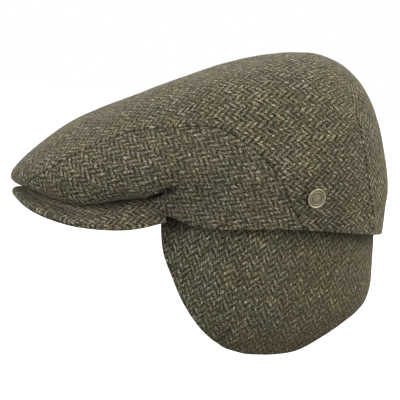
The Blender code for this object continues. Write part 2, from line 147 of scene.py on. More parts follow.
# %% Sizes and tables that the cloth is cut to
OPENING_LENGTH, OPENING_WIDTH = 0.206, 0.172
CROWN_HEIGHT, APEX_BACK = 0.1262, 0.036
NOSE_REACH, BACK_REACH, SIDE_REACH = 0.1702, 0.104, 0.092
CLOTH, FIT = 0.0025, 0.0003
APEX_ROW = 7.0
CROWN_TABLE = np.array((
    (0, 2.3, 0.134, 0.45, 0.112, 0.88, 0.087, 0.128, 0.88, 0.38, 0.695, 0.578, 0.36, 0.838),
    (15, 2.3, 0.124, 0.42, 0.1, 0.85, 0.078, 0.15, 0.88, 0.378, 0.7, 0.581, 0.37, 0.84),
    (30, 2.3, 0.096, 0.36, 0.078, 0.84, 0.042, 0.165, 0.89, 0.4, 0.71, 0.628, 0.39, 0.862),
    (45, 2.25, 0.054, 0.2, 0.104, 0.86, 0.124, 0.228, 0.92, 0.44, 0.75, 0.668, 0.41, 0.885),
    (54, 2.22, 0.026, 0.36, 0.136, 0.86, 0.16, 0.262, 0.936, 0.456, 0.772, 0.693, 0.429, 0.896),
    (60, 2.2, 0.013, 0.4, 0.16, 0.76, 0.202, 0.285, 0.945, 0.465, 0.785, 0.708, 0.44, 0.903),
    (66, 2.17, -0.006, 0.34, 0.13, 0.68, 0.198, 0.298, 0.948, 0.476, 0.791, 0.724, 0.443, 0.911),
    (72, 2.15, -0.012, 0.32, 0.092, 0.66, 0.185, 0.3, 0.95, 0.484, 0.795, 0.736, 0.445, 0.918),
    (90, 2.1, 0, 0.34, 0.085, 0.66, 0.17, 0.29, 0.955, 0.495, 0.8, 0.762, 0.45, 0.936),
    (120, 2.05, 0.03, 0.28, 0.095, 0.62, 0.175, 0.28, 0.94, 0.505, 0.785, 0.765, 0.46, 0.94),
    (150, 2, 0.022, 0.3, 0.09, 0.66, 0.175, 0.27, 0.92, 0.512, 0.755, 0.75, 0.47, 0.92),
    (180, 2, 0.006, 0.4, 0.09, 0.8, 0.18, 0.25, 0.9, 0.52, 0.728, 0.742, 0.48, 0.908),
))
SEAM_TABLE = np.array((
    (16.5, 2), (18, 2.75), (23, 3.2), (31, 3.85), (42, 4.19), (57, 4.25), (72, 4.24),
    (84, 4.07), (95, 3.74), (103.5, 3.34), (109, 2.82), (114, 1.66), (118, 0.92), (121, 0),
))
DART_TABLE = np.array((
    (0, 160), (0.32, 160), (1.46, 158), (3.2, 151.5), (3.88, 149), (4.48, 146.5),
    (5.3, 147), (5.74, 150), (7, 150),
))
DART_TOP_ROW = 5.74
CREASE_TABLE = np.array(((43, 1.05), (49, 1), (53, 1.03), (57, 1.15), (60, 1.36), (63.5, 1.8)))

# %% [markdown]
# A natural cubic spline runs through the stations of every direction, so the cloth bends evenly. All
# directions are solved at once as a stack of small tridiagonal systems.

# %% Splines and the crown's surface
take = np.take_along_axis


def spline(knots, values, at, segment):
    """Natural cubic spline through values at knots, for a stack of curves at once.

    value = (1 - s) v0 + s v1 + ((1 - s)^3 - (1 - s)) c0 h^2/6 + (s^3 - s) c1 h^2/6, s the share of the span h.
    """
    span = np.diff(knots, axis=-1)
    count = knots.shape[-1]
    system = np.zeros(knots.shape + (count,))
    target = np.zeros_like(values)
    inner = np.arange(1, count - 1)
    system[..., 0, 0] = system[..., -1, -1] = 1.0
    system[..., inner, inner - 1] = span[..., :-1]
    system[..., inner, inner] = 2.0 * (span[..., :-1] + span[..., 1:])
    system[..., inner, inner + 1] = span[..., 1:]
    target[..., 1:-1, :] = 6.0 * np.diff(np.diff(values, axis=-2) / span[..., None], axis=-2)
    bend = np.linalg.solve(system, target)
    length = take(span, segment, -1)
    after = ((at - take(knots, segment, -1)) / length)[..., None]
    curve = 0.0
    for share, end in ((1.0 - after, segment), (after, segment + 1)):
        value, sag = (take(part, end[..., None], -2) for part in (values, bend))
        curve = curve + share * value + (share**3 - share) * sag * (length**2 / 6.0)[..., None]
    return curve


def table_curve(knots, values, at):
    """The same spline for the columns of one table."""
    flat = np.ravel(at)
    segment = np.clip(np.searchsorted(knots, flat, side="right") - 1, 0, len(knots) - 2)
    columns = values.reshape(len(knots), -1)
    result = spline(knots[None], columns[None], flat[None], segment[None])[0]
    return result.reshape(np.shape(at) + values.shape[1:])


def along_table(table, share):
    """Spline through a table's rows, taken as even steps, at shares from 0 to 1 of the way down it."""
    return table_curve(np.arange(float(len(table))), table, share * (len(table) - 1))


def mirrored_curve(table, angle):
    """Spline of a table over its first column, 0 to 180 degrees, that is level across the plane of symmetry."""
    around = np.concatenate((-table[:0:-1, 0], table[:, 0], 360.0 - table[-2::-1, 0]))
    return table_curve(around, np.concatenate((table[:0:-1], table, table[-2::-1]))[:, 1:], angle)


def oval(angle, half_width, half_length, power):
    """Reach of |x/half_width|^power + |y/half_length|^power = 1 in a direction."""
    across, along = np.abs(direction(angle)).T
    return ((across / half_width) ** power + (along / half_length) ** power) ** (-1.0 / power)


def rim_reach(angle):
    return oval(angle, OPENING_WIDTH / 2, OPENING_LENGTH / 2, 2.0)


def rim_height(angle):
    return mirrored_curve(CROWN_TABLE[:, (0, 2)], angle)[..., 0] * CROWN_HEIGHT


def crown_stations(angle):
    """The stations of each direction from rim to apex, and three mirrored beyond the apex."""
    square, rim_up, tuck, tuck_up, fold, fold_up, wide_up, *upper = mirrored_curve(CROWN_TABLE, angle).T
    length = np.where(np.cos(np.radians(angle)) > 0.0, NOSE_REACH, BACK_REACH)
    rim, wide = rim_reach(angle), oval(angle, SIDE_REACH, length, square)
    ray, apex = direction(angle), np.array((0.0, APEX_BACK))
    plans = [(rim + share * (wide - rim))[:, None] * ray for share in (0.0, tuck, fold, 1.0)]
    plans += [apex + share[:, None] * (plans[3] - apex) for share in upper[::2]]
    heights = [rim_up, tuck_up, fold_up, wide_up, *upper[1::2]]
    plans += [np.broadcast_to(apex, ray.shape)] + [2.0 * apex - plan for plan in plans[:-4:-1]]
    heights += [np.ones_like(rim)] + heights[:-4:-1]
    return np.concatenate((np.stack(plans, 1), np.stack(heights, 1)[..., None] * CROWN_HEIGHT), axis=2)


def crown(angle, row):
    """Points of the crown's outer face at directions in degrees and rows of the profile."""
    shape = np.broadcast(angle, row).shape
    angle, row = (np.broadcast_to(value, shape).astype(float).ravel() for value in (angle, row))
    stations = crown_stations(angle)
    chord = np.sqrt(np.linalg.norm(np.diff(stations, axis=1), axis=2))
    knots = np.concatenate((np.zeros((len(angle), 1)), np.cumsum(chord, axis=1)), axis=1)
    segment = np.clip(np.floor(row).astype(int), 0, int(APEX_ROW) - 1)[:, None]
    at = take(knots, segment, 1)
    at = at + (row[:, None] - segment) * take(chord, segment, 1)
    return spline(knots, stations, at, segment)[:, 0].reshape(shape + (3,))


print("Apex, mm:", (crown(0.0, APEX_ROW) * 1000).round(1), "nose, mm:", (crown(0.0, 3.0) * 1000).round(1))

# %% [markdown]
# Two curved seams cut the crown into a top panel and two side panels. Cloth is turned in at a seam,
# so each panel stops half its own thickness short of it, and the two round edges leave a narrow valley.

# %% The seam, and each panel's edge beside it
SEAM_GAP, SHELL, RIM_START = 0.0002, 0.0018, 0.1
SEAM_SHARE = np.linspace(0.0, 1.0, 600)
ANGLE_STEP, ROW_STEP = 0.2, 0.02


def seam_samples():
    """Directions, rows and points along the seam at even steps of its real length."""
    angle, row = along_table(SEAM_TABLE, SEAM_SHARE).T
    length = lengths(crown(angle, np.clip(row, 0.0, APEX_ROW)))
    angle, row = (np.interp(SEAM_SHARE * length[-1], length, values) for values in (angle, row))
    row = np.clip(row, 0.0, APEX_ROW)
    print("Seam length, mm:", round(length[-1] * 1000, 1))
    return angle, row, crown(angle, row)


SEAM_ANGLE, SEAM_ROW, SEAM_POINTS = seam_samples()


def panel_edge(side):
    """Directions and rows of a panel's edge: the seam moved over the crown by half the cloth and the gap.

    The move m across the seam is solved for steps of angle and row: a Ta + r Tr = m, by least squares.
    """
    low = np.clip(SEAM_ROW - ROW_STEP, 0.0, APEX_ROW)
    turned = (crown(SEAM_ANGLE + ANGLE_STEP, SEAM_ROW) - crown(SEAM_ANGLE - ANGLE_STEP, SEAM_ROW)) / (2 * ANGLE_STEP)
    raised = (crown(SEAM_ANGLE, low + 2 * ROW_STEP) - crown(SEAM_ANGLE, low)) / (2 * ROW_STEP)
    aside = unit(np.cross(np.gradient(SEAM_POINTS, axis=0), np.cross(turned, raised)))
    move = np.linalg.pinv(np.stack((turned, raised), axis=2)) @ (side * (SHELL + SEAM_GAP) / 2 * aside[..., None])
    row = np.append(SEAM_ROW[0], SEAM_ROW[1:] + move[1:, 1, 0])
    return SEAM_ANGLE + move[:, 0, 0], np.maximum(row, RIM_START)


TOP_EDGE, SIDE_EDGE = panel_edge(-1), panel_edge(1)

# %% [markdown]
# A sheet of cloth starts as one or more patches, grids over two shares s and t from 0 to 1. Patches
# that meet share their edge points, which are then welded. The same patches are made twice: coarse,
# to lay the weave on them, and fine, for the cloth itself.

# %% Patches, triangles and welding
WELD_STEP = 2e-6


def patch_triangles(rows, columns):
    """Two triangles for each cell of a grid, turned outwards when t rises and s runs to the back."""
    corner = np.arange(rows * columns).reshape(rows, columns)
    a, b, c, d = corner[:-1, :-1], corner[:-1, 1:], corner[1:, 1:], corner[1:, :-1]
    return np.concatenate([np.stack(t, -1).reshape(-1, 3) for t in ((a, b, c), (a, c, d))])


def weld(points, triangles, marks=0):
    """Join points at one place and with one mark: the first of each, new numbers, and which triangles stay."""
    marks = np.broadcast_to(marks, len(points))
    key = np.column_stack((np.round(points / WELD_STEP).astype(np.int64), marks))
    _, first, number = np.unique(key, axis=0, return_index=True, return_inverse=True)
    number = number.ravel()
    a, b, c = number[triangles].T
    return first, number, (a != b) & (b != c) & (c != a)


def dart_angle(row):
    return table_curve(DART_TABLE[:, 0], DART_TABLE[:, 1], row)


def top_surface(name, s, t):
    """Points of one patch of the top panel's left half. s runs to the back and t rises."""
    s, t = np.meshgrid(s, t)
    angle, row = TOP_EDGE
    start, rise = np.interp(s, SEAM_SHARE, row), RIM_START + t * (APEX_ROW - RIM_START)
    dart = dart_angle(rise)
    return crown(*{
        "under": (s * angle[0], RIM_START + t * (row[0] - RIM_START)),
        "nose": (s * angle[0], row[0] + t * (APEX_ROW - row[0])),
        "seam": (np.interp(s, SEAM_SHARE, angle), start + t * (APEX_ROW - start)),
        "flank": (angle[-1] + s * (dart - angle[-1]), rise),
        "rear": (dart + s * (180.0 - dart), rise),
    }[name])


def side_surface(name, s, t):
    """Points of the side panel, from the rim at t = 0 to the seam at t = 1."""
    s, t = np.meshgrid(s, t)
    angle, top = (np.interp(s, SEAM_SHARE, values) for values in SIDE_EDGE)
    return crown(angle, RIM_START + t * (top - RIM_START))


# %% [markdown]
# Straight cloth cannot lie flat on a bent form, it can only come close. The columns of the weave
# should run along one direction, the grain, and the yarns should keep their spacing. Least squares
# finds pattern coordinates u and v that come as near to this as the form allows. It is solved many
# times over, and each time the wish for every triangle turns with the cloth, as cloth itself does.

# %% Lay the weave on a sheet
MIDDLE = 1e-7


def lay_cloth(points, triangles, grain, hold, rounds=40):
    """Pattern coordinates in metres: u along the columns of the weave, v across them.

    They minimise the sum over triangles of area (|grad u - along|^2 + |grad v - across|^2). Along starts
    as the grain laid flat on the triangle, and each round turns it to the frame closest to the slopes,
    unit(unit(grad u - normal x grad v) + hold grain), so that the yarns keep their length, and where
    hold is over 0 also stay near the grain.
    """
    corner = points[triangles]
    opposite = np.roll(corner, -2, axis=1) - np.roll(corner, -1, axis=1)
    double, normal = np.linalg.norm(doubled(corner), axis=1), unit(doubled(corner))
    slope = np.cross(normal[:, None], opposite) / double[:, None, None]
    along = grain = flatten(grain, normal)
    system = np.zeros((len(points), len(points)))
    pairs = np.einsum("m,mix,mjx->mij", double, slope, slope)
    np.add.at(system, (triangles[:, :, None], triangles[:, None, :]), pairs)
    system[0] = 0.0
    system[0, 0] = 1.0
    solve = np.linalg.inv(system)
    for _ in range(rounds):
        target = np.zeros((len(points), 2))
        wanted = np.stack((along, np.cross(normal, along)), axis=-1)
        np.add.at(target, triangles, np.einsum("m,mix,mxk->mik", double, slope, wanted))
        target[0] = 0.0
        cloth = solve @ target
        grads = np.einsum("mix,mik->mxk", slope, cloth[triangles])
        along = unit(unit(grads[..., 0] - np.cross(normal, grads[..., 1])) + hold[:, None] * grain)
    stretch = np.percentile(np.linalg.norm(grads, axis=1), (5, 50, 95), axis=0)
    print("Yarn spacing along and across the columns, shares of the flat cloth:", *stretch.T.round(2))
    return cloth


def stack(patches, level, surface, grain_of, cut_of, mirrored):
    """Points, dart marks, triangles and their grain and hold, for coarse shares at level 0 or fine at 2."""
    parts, count = [], 0
    for name, *shares in patches:
        s, t = shares[level:level + 2]
        points, cells = surface(name, s, t).reshape(-1, 3), patch_triangles(len(t), len(s))
        points[np.abs(points[:, 0]) < MIDDLE, 0] = 0.0
        wish = np.broadcast_to(grain_of(name, points[cells].mean(1)), (len(cells), 4))
        parts.append((points, cut_of(name, s, t).ravel(), cells + count, wish))
        count += len(points)
    points, cuts, faces, wish = map(np.concatenate, zip(*parts))
    if not mirrored:
        return points, cuts, faces, wish
    other = points * (-1, 1, 1), 2 * cuts, faces[:, ::-1] + count, wish * (-1, 1, 1, 1)
    return map(np.concatenate, zip((points, cuts, faces, wish), other))


def uncut(name, s, t):
    return np.zeros((len(t), len(s)), int)


def build_sheet(patches, surface, grain_of, cut_of=uncut, mirrored=True):
    """Fine points, triangles and corner coordinates of a sheet mirrored across x = 0, or of one side.

    patches lists (name, coarse s, coarse t, fine s, fine t). surface gives points, grain_of the
    grain's x, y, z and how firmly it is held, and cut_of marks points that a dart keeps apart.
    """
    points, cuts, faces, wish = stack(patches, 0, surface, grain_of, cut_of, mirrored)
    first, number, keep = weld(points, faces, cuts)
    cloth = lay_cloth(points[first], number[faces[keep]], wish[keep, :3], wish[keep, 3])[number]
    if mirrored:
        cloth[:, 1] -= cloth[:, 1].mean()
    fine = []
    for _, s, t, fine_s, fine_t in patches:
        grid, cloth = np.split(cloth, [len(s) * len(t)])
        grid = table_curve(t, grid.reshape(len(t), len(s), 2), fine_t).transpose(1, 0, 2)
        fine.append(table_curve(s, grid, fine_s).transpose(1, 0, 2).reshape(-1, 2))
    cloth = np.concatenate(fine)
    if mirrored:
        cloth = np.concatenate((cloth, cloth * (1.0, -1.0)))
    points, _, faces, _ = stack(patches, 2, surface, grain_of, cut_of, mirrored)
    first, number, keep = weld(points, faces)
    return points[first], number[faces[keep]], cloth[faces[keep]]


# %% [markdown]
# Cloth has two faces and a turned edge. The sheet is copied inwards along its normals, and the two
# are joined by half a circle round every free edge, as a folded seam allowance looks.

# %% From a sheet to a closed wall of cloth
EDGE_DRIFT = (0.35, 0.94)


def vertex_normals(points, triangles):
    """Normals at the points: the sum of the cross products of the triangles round each."""
    cross = np.repeat(doubled(points[triangles]), 3, axis=0)
    return unit(np.stack([np.bincount(triangles.ravel(), part, len(points)) for part in cross.T], axis=1))


def ribbon(near, far):
    """Two triangles for each edge between two copies of the same edges."""
    return [np.stack((near[:, 1], near[:, 0], far[:, 0]), 1), np.stack((near[:, 1], far[:, 0], far[:, 1]), 1)]


def wall(points, triangles, cloth, thickness, steps=6):
    """Closed wall round a sheet: points, triangles and corner coordinates.

    The thickness is one number, or one for each point. An edge point at a turn from 0 to 180 degrees is
    point - normal h + h (cos(turn) normal + sin(turn) outward), with h half the thickness.
    """
    count, thickness = len(points), np.broadcast_to(thickness, len(points))[:, None]
    half = thickness / 2
    normals = vertex_normals(points, triangles)
    sides = ((0, 1), (1, 2), (2, 0))
    edges, edge_cloth = triangles[:, sides].reshape(-1, 2), cloth[:, sides].reshape(-1, 2, 2)
    free = ~np.isin(edges[:, 0] * count + edges[:, 1], edges[:, 1] * count + edges[:, 0])
    edges, edge_cloth = edges[free], edge_cloth[free]
    out = np.cross(points[edges[:, 1]] - points[edges[:, 0]], normals[edges].sum(1))
    outward = np.zeros_like(points)
    np.add.at(outward, edges, out[:, None])
    border, position = np.unique(edges, return_inverse=True)
    position = position.reshape(edges.shape)
    normal, half = normals[border], half[border]
    outward = flatten(outward[border], normal)
    turns = np.linspace(0.0, np.pi, steps + 1)[1:-1, None, None]
    rings = points[border] - half * normal + half * (np.cos(turns) * normal + np.sin(turns) * outward)
    vertices = np.concatenate((points, points - thickness * normals, rings.reshape(-1, 3)))
    level = [edges, *(2 * count + k * len(border) + position for k in range(steps - 1)), edges + count]
    faces, corners = [triangles, triangles[:, ::-1] + count], [cloth, cloth[:, ::-1]]
    drift = np.array(EDGE_DRIFT) * thickness.mean() / 2 * np.pi / steps
    for k in range(steps):
        faces += ribbon(level[k], level[k + 1])
        corners += ribbon(edge_cloth + drift * k, edge_cloth + drift * (k + 1))
    return vertices, np.concatenate(faces), np.concatenate(corners)


def add_piece(name, vertices, triangles, cloth, material, node, slot):
    """Put a smooth mesh in the scene, with its pattern coordinates as a UV map."""
    mesh = bpy.data.meshes.new(name)
    mesh.vertices.add(len(vertices))
    mesh.vertices.foreach_set("co", vertices.astype(np.float32).ravel())
    mesh.loops.add(triangles.size)
    mesh.loops.foreach_set("vertex_index", triangles.astype(np.int32).ravel())
    mesh.polygons.add(len(triangles))
    mesh.polygons.foreach_set("loop_start", np.arange(0, triangles.size, 3, dtype=np.int32))
    mesh.update(calc_edges=True)
    if cloth is not None:
        mesh.uv_layers.new(name="cloth").uv.foreach_set("vector", cloth.astype(np.float32).ravel())
    mesh.validate()
    mesh.shade_smooth()
    mesh.materials.append(material)
    piece = put(name, mesh)
    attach(piece, "root")
    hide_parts(node)
    print(name, len(triangles), "triangles")
    return piece


# %% [markdown]
# Real cloth is never as even as its pattern. Beside a seam it swells and puckers, a dart pulls a valley
# that fades towards its tip, and the whole crown carries soft lumps. Each is a small move along the
# normal. Two masks go with them: one of painted shade, how much darker a place is drawn where shade
# falls, and below 0 painted light, and "felted", how far its weave is rubbed. On the flap the mask of
# painted shade also darkens the lower edge and the back.

# %% Relief and masks of sewn and worn cloth, and painted shade
SWELL, SEAM_SWELL, DART_SWELL = 0.00035, (0.0028, 0.0026), (0.0028, 0.0022)
PUCKER, PUCKER_LENGTH, PUCKER_REACH, PUCKER_STRAY, STRAY_SIZE = 0.00016, 0.0085, 0.006, 2.5, 0.03
DART_DEPTH, DART_WIDTH, DART_FADE, DART_ROWS = 0.0011, 0.0008, 0.35, np.linspace(RIM_START, DART_TOP_ROW, 240)
DART_LINE = crown(dart_angle(DART_ROWS), DART_ROWS)
DART_LENGTH = lengths(DART_LINE)[-1]
CREASE_DEPTH, CREASE_WIDTH, LIP, LIP_BELL = 0.0085, 0.0024, 0.0018, (0.0025, 0.004)
# Painted shade beside the crease, on the low front and on the rear quarters, and painted light in the hollow under the
# nose:
CREASE_SHADE, CREASE_SHADE_UP, CREASE_SHADE_DOWN, CREASE_SHARE = 0.5, 0.006, 0.0025, np.linspace(0.0, 1.0, 160)
CREASE_LINE = crown(*along_table(CREASE_TABLE, CREASE_SHARE).T)
HOLLOW_LIGHT, HOLLOW_REACH, HOLLOW_ANGLES = 1.6, 0.004, (40.0, 30.0)
LOW_TOP, LOW_FRONT_SHADE, QUARTER_SHADE, QUARTER_BELL = 0.07, 0.07, 0.24, (16.0, 134.0)
LUMP, LUMP_SIZE, SMALL_LUMP, SMALL_SIZE, CROWN_SEED = 0.00055, 0.055, 0.35, 0.4, 11


def beside(points, line):
    """Distance of each point from a curve, and the length along it to the nearest place."""
    tangent = unit(np.gradient(line, axis=0))
    length = lengths(line)
    square = (points**2).sum(1)[:, None] + (line**2).sum(1) - 2.0 * points @ line.T
    near = square.argmin(1)
    gap = points - line[near]
    step = length[-1] / (len(line) - 1)
    along = np.clip((gap * tangent[near]).sum(1), -step, step)
    return np.linalg.norm(gap - along[:, None] * tangent[near], axis=1), length[near] + along


def lumps(points, size, seed):
    """Smooth noise between about -1 and 1: the mean of seven cosines in random directions."""
    draw = np.random.default_rng(seed)
    waves = unit(draw.normal(size=(7, 3))) * (2.0 * np.pi / size) * draw.uniform(0.7, 1.4, (7, 1))
    return np.cos(points @ waves.T + draw.uniform(0.0, 2.0 * np.pi, 7)).mean(1) * 1.6


def sewn(points, seed):
    """Swell beside the seam, and puckers: PUCKER cos(2 pi l / PUCKER_LENGTH) exp(-d / PUCKER_REACH)."""
    away, length = beside(points, SEAM_POINTS[::2])
    phase = 2.0 * np.pi * length / PUCKER_LENGTH + PUCKER_STRAY * lumps(points, STRAY_SIZE, seed)
    return SWELL * bell(away, *SEAM_SWELL) + PUCKER * np.cos(phase) * np.exp(-away / PUCKER_REACH)


def beside_crease(points):
    """Distance from the crease over the peak's end, the side of it, and a fade sin(pi share)^0.5 along it."""
    away, length = beside(points, CREASE_LINE)
    above = points[:, 2] > np.interp(length, CREASE_SHARE * length.max(), CREASE_LINE[:, 2])
    return away, above, np.sin(np.pi * between(length, 0.0, lengths(CREASE_LINE)[-1])) ** 0.5


def crown_relief(points):
    """Move of the crown's points along their normals."""
    left = to_left(points)
    relief = LUMP * lumps(points, LUMP_SIZE, CROWN_SEED)
    relief += SMALL_LUMP * LUMP * lumps(points, SMALL_SIZE * LUMP_SIZE, CROWN_SEED + 1)
    relief += sewn(left, CROWN_SEED + 2)
    away, above, fade = beside_crease(left)
    relief += fade * (LIP * above * bell(away, *LIP_BELL) - CREASE_DEPTH * bell(away, CREASE_WIDTH))
    away, length = beside(left, DART_LINE)
    fade = between(length, DART_LENGTH, (1.0 - DART_FADE) * DART_LENGTH)
    return relief + fade * (SWELL * bell(away, *DART_SWELL) - DART_DEPTH * bell(away, DART_WIDTH))


def under_nose(points):
    """Direction, distance outside the crown's lower fold, and painted light for the hollow below it, as if pale ground
    lit it.
    """
    angle = bearing(points)
    stations = crown_stations(angle)
    away = np.linalg.norm(points[:, :2], axis=1) - np.linalg.norm(stations[:, 2, :2], axis=1)
    hollow = ramp(angle, *HOLLOW_ANGLES) * ramp(-away, 0.0, HOLLOW_REACH) * (points[:, 2] < stations[:, 3, 2])
    return angle, away, HOLLOW_LIGHT * hollow


def side_masks(points):
    """Painted shade beside the crease, where it keeps light off, and on the low front, and painted light in the hollow
    under the nose.
    """
    away, above, fade = beside_crease(to_left(points))
    painted_shade = CREASE_SHADE * fade * bell(away, np.where(above, CREASE_SHADE_UP, CREASE_SHADE_DOWN))
    painted_shade += LOW_FRONT_SHADE * between(points[:, 2], LOW_TOP, 0.0) * (points[:, 1] < 0.0)
    return {"painted_shade": painted_shade - under_nose(points)[2]}


def top_masks(points):
    """Painted shade on the rear quarters, a little darker low down, and painted light in the hollow under the nose."""
    angle, _, light = under_nose(points)
    quarter = between(points[:, 2], LOW_TOP, 0.0) ** 0.5 * bell(angle, *QUARTER_BELL)
    return {"painted_shade": QUARTER_SHADE * quarter - light}


def keep_mask(piece, name, values):
    """Keep a number for each point as an attribute that the material reads."""
    piece.data.attributes.new(name, "FLOAT", "POINT").data.foreach_set("value", values)


def dress(name, sheet, relief, masks_of, thickness, *dressed):
    """Move a sheet by its relief, close it as a wall, put it in the scene and give it its masks."""
    points, triangles, cloth = sheet
    points = points + relief(points)[:, None] * vertex_normals(points, triangles)
    points, *rest = wall(points, triangles, cloth, thickness)
    piece = add_piece(name, points, *rest, *dressed)
    for mask, values in masks_of(points).items():
        keep_mask(piece, mask, values)
    return piece


print("Dart length, mm:", round(DART_LENGTH * 1000, 1))

# %% [markdown]
# Materials are written as sums and products of wires, and each of these adds a node to their tree.

# %% Node helpers


def fill(node, values):
    """Put numbers and colours on a node's inputs, or join wires to them."""
    for socket, value in values.items():
        if isinstance(value, Wire):
            value.tree.links.new(value.socket, node.inputs[socket])
        else:
            node.inputs[socket].default_value = value


def add(kind, values=(), output=0, tree=None, **settings):
    """Add a shader node to the tree that its input wires come from, and give one of its outputs."""
    values = values if isinstance(values, dict) else dict(enumerate(values))
    tree = tree or next(value.tree for value in values.values() if isinstance(value, Wire))
    node = tree.nodes.new("ShaderNode" + kind)
    for name, value in settings.items():
        setattr(node, name, value)
    fill(node, values)
    return Wire(tree, node.outputs[output])


class Wire:
    """An output socket in a tree, which can be added, subtracted and multiplied."""

    def __init__(self, tree, socket):
        self.tree, self.socket = tree, socket

    def other(self, output):
        """Another output of the same node."""
        return Wire(self.tree, self.socket.node.outputs[output])

    def math(self, operation, *values):
        return add("Math", (self, *values), operation=operation)

    def __add__(self, value):
        return self.math("ADD", value)

    def __mul__(self, value):
        return self.math("MULTIPLY", value)

    def __sub__(self, value):
        return self.math("SUBTRACT", value)

    def __rsub__(self, value):
        return self.math("MULTIPLY_ADD", -1.0, value)


def mix(share, first, second):
    """Number between two numbers."""
    return add("Mix", {0: share, 2: first, 3: second})


def blend(share, first, second, mode="MIX"):
    """Colour between two colours, or the second laid on the first in another mode."""
    return add("Mix", {0: share, 6: first, 7: second}, 2, data_type="RGBA", blend_type=mode)


def times(colour, other):
    """A colour times another colour."""
    return blend(1.0, colour, other, "MULTIPLY")


def noise(vector, scale, detail=2.0, roughness=0.5):
    return add("TexNoise", {"Vector": vector, "Scale": scale, "Detail": detail, "Roughness": roughness}, "Fac")


def spread(value, low, high, start=0.0, end=1.0):
    """Map a value's range low to high onto start to end, held inside it."""
    return add("MapRange", (value, low, high, start, end))


def join(*values):
    return add("CombineXYZ", values)


def white(*values):
    """A random number from 0 to 1 for each different vector."""
    return add("TexWhiteNoise", {"Vector": join(*values)}, "Value")


def grey(value):
    return join(value, value, value)


def bump(height, strength, distance):
    return add("Bump", {"Strength": strength, "Distance": distance, "Height": height})


def attribute(tree, name):
    return add("Attribute", output="Fac", tree=tree, attribute_name=name)


def new_group(name, inputs, outputs):
    """A node group with sockets given as names and kinds, such as {"Height": "Float"}."""
    tree = bpy.data.node_groups.new(name, "ShaderNodeTree")
    for way, sockets in (("INPUT", inputs), ("OUTPUT", outputs)):
        for label, kind in sockets.items():
            tree.interface.new_socket(label, in_out=way, socket_type="NodeSocket" + kind)
    given = {socket.name: Wire(tree, socket) for socket in tree.nodes.new("NodeGroupInput").outputs}
    return given, tree.nodes.new("NodeGroupOutput"), tree


# %% [markdown]
# Herringbone is a 2/2 twill: every warp yarn passes over two weft yarns and under two, one step
# further on for each neighbour, and after four ends the steps turn back. Light warp and dark weft
# make the diagonals show. The group works on the cloth's own coordinates, in metres, and gives out a
# colour, with painted shade in the gaps between yarns, a height for the bump and a speckle of fibres.
# The drift group tints the mixed yarns.

# %% The herringbone and drift groups
ENDS, PICKS, COLUMN, TWILL = 0.00118, 0.00125, 4.0, 4.0
SLOW_SCALE, SLOW_BEND, QUICK_SCALE, QUICK_BEND = 130.0, 1.6, 950.0, 1.1
# Painted shade in the gaps between yarns takes the first of these shares from the colour:
GAP_SHADE, FLOAT_ROUND, WEFT_HEIGHT, FIBRE_HEIGHT = 0.6, 0.45, 0.7, 0.5
STRAY, STRAY_SCALE, FIBRE_SCALE = 0.28, 2300.0, 800.0
SPECKLE = (0.3, 0.7, 0.2, 1.8)
MOSSY, ROSY = (0.98, 1.02, 0.92, 1.0), (1.05, 0.985, 1.05, 1.0)
YARNS = ("Light Yarn", "Second Light", "Dark Yarn", "Second Dark")


def wander(place, seed):
    """How far yarns stray from straight, in yarns: slow bends of 8 mm and quick ones of 1 mm."""
    moved = add("VectorMath", (place, (seed, seed, 0.0)))
    return (noise(moved, SLOW_SCALE) - 0.5) * SLOW_BEND + (noise(moved, QUICK_SCALE) - 0.5) * QUICK_BEND


def arch(share):
    """Height of a round yarn at a share of its width: sqrt(4 share (1 - share))."""
    return (share * (1.0 - share) * 4.0).math("MAXIMUM", 0.0).math("SQRT")


def herringbone_group():
    """Group of a herringbone: end number i = floor(v / ENDS), pick number j = floor(u / PICKS).

    The warp is on top where (j + zigzag(i)) mod 4 < 2. In one column zigzag counts up, 0 1 2 3, and
    in the next down from 1, which puts floats against gaps where the columns meet.
    """
    inputs = {"Cloth": "Vector", **dict.fromkeys(YARNS, "Color")}
    given, made, tree = new_group("herringbone", inputs, {"Color": "Color", "Height": "Float", "Fibre": "Float"})
    place = given["Cloth"]
    u = add("SeparateXYZ", (place,))
    ends, picks = u.other(1) * (1.0 / ENDS) + wander(place, 0.0), u * (1.0 / PICKS) + wander(place, 3.7)
    end, across, pick, along = (wire.math(kind) for wire in (ends, picks) for kind in ("FLOOR", "FRACT"))
    pair = (end + 0.5).math("FLOORED_MODULO", 2.0 * COLUMN)
    back = pair.math("GREATER_THAN", COLUMN)
    zigzag = pair.math("FLOOR").math("FLOORED_MODULO", COLUMN) * (back * -2.0 + 1.0) + back
    step = (pick + zigzag).math("FLOORED_MODULO", TWILL)
    warp = step.math("LESS_THAN", 1.5)
    warp_height = arch(across) * (arch((step + along) * 0.5) * FLOAT_ROUND + (1.0 - FLOAT_ROUND))
    height = mix(warp, arch(along) * WEFT_HEIGHT, warp_height)
    warp_float = (pick + zigzag - step) * (1.0 / TWILL)
    warp_own = white(end, warp_float, 0.0)
    weft_own = white(pick, (end * 0.5).math("FLOOR"), 5.0)
    slub = noise(join(end * 7.31, u * 260.0, 0.0), 1.0)
    light = blend(spread(slub, 0.35, 0.65), given["Light Yarn"], given["Second Light"])
    light = times(light, blend(white(end, warp_float, 9.0), MOSSY, ROSY))
    dark = blend(weft_own, given["Dark Yarn"], given["Second Dark"])
    fleck = warp_own.math("POWER", 7.0) * 0.5
    tone = mix(warp, weft_own * 0.9 + 0.6, warp_own * 0.68 + 0.6 + fleck)
    fibre = noise(place, FIBRE_SCALE, 1.0, 0.6)
    speckle = spread(fibre, *SPECKLE)
    # Painted shade: the colour is darker where the yarns are low, in the gaps between them.
    shade = (height * GAP_SHADE + (1.0 - GAP_SHADE)) * tone * speckle
    stray = spread(noise(place, STRAY_SCALE, 2.0, 0.6), 0.38, 0.62)
    cover = warp * (1.0 - STRAY) + stray * STRAY
    colour = times(blend(cover, dark, light), grey(shade))
    fill(made, {"Color": colour, "Height": fibre * FIBRE_HEIGHT + height, "Fibre": speckle})
    return tree


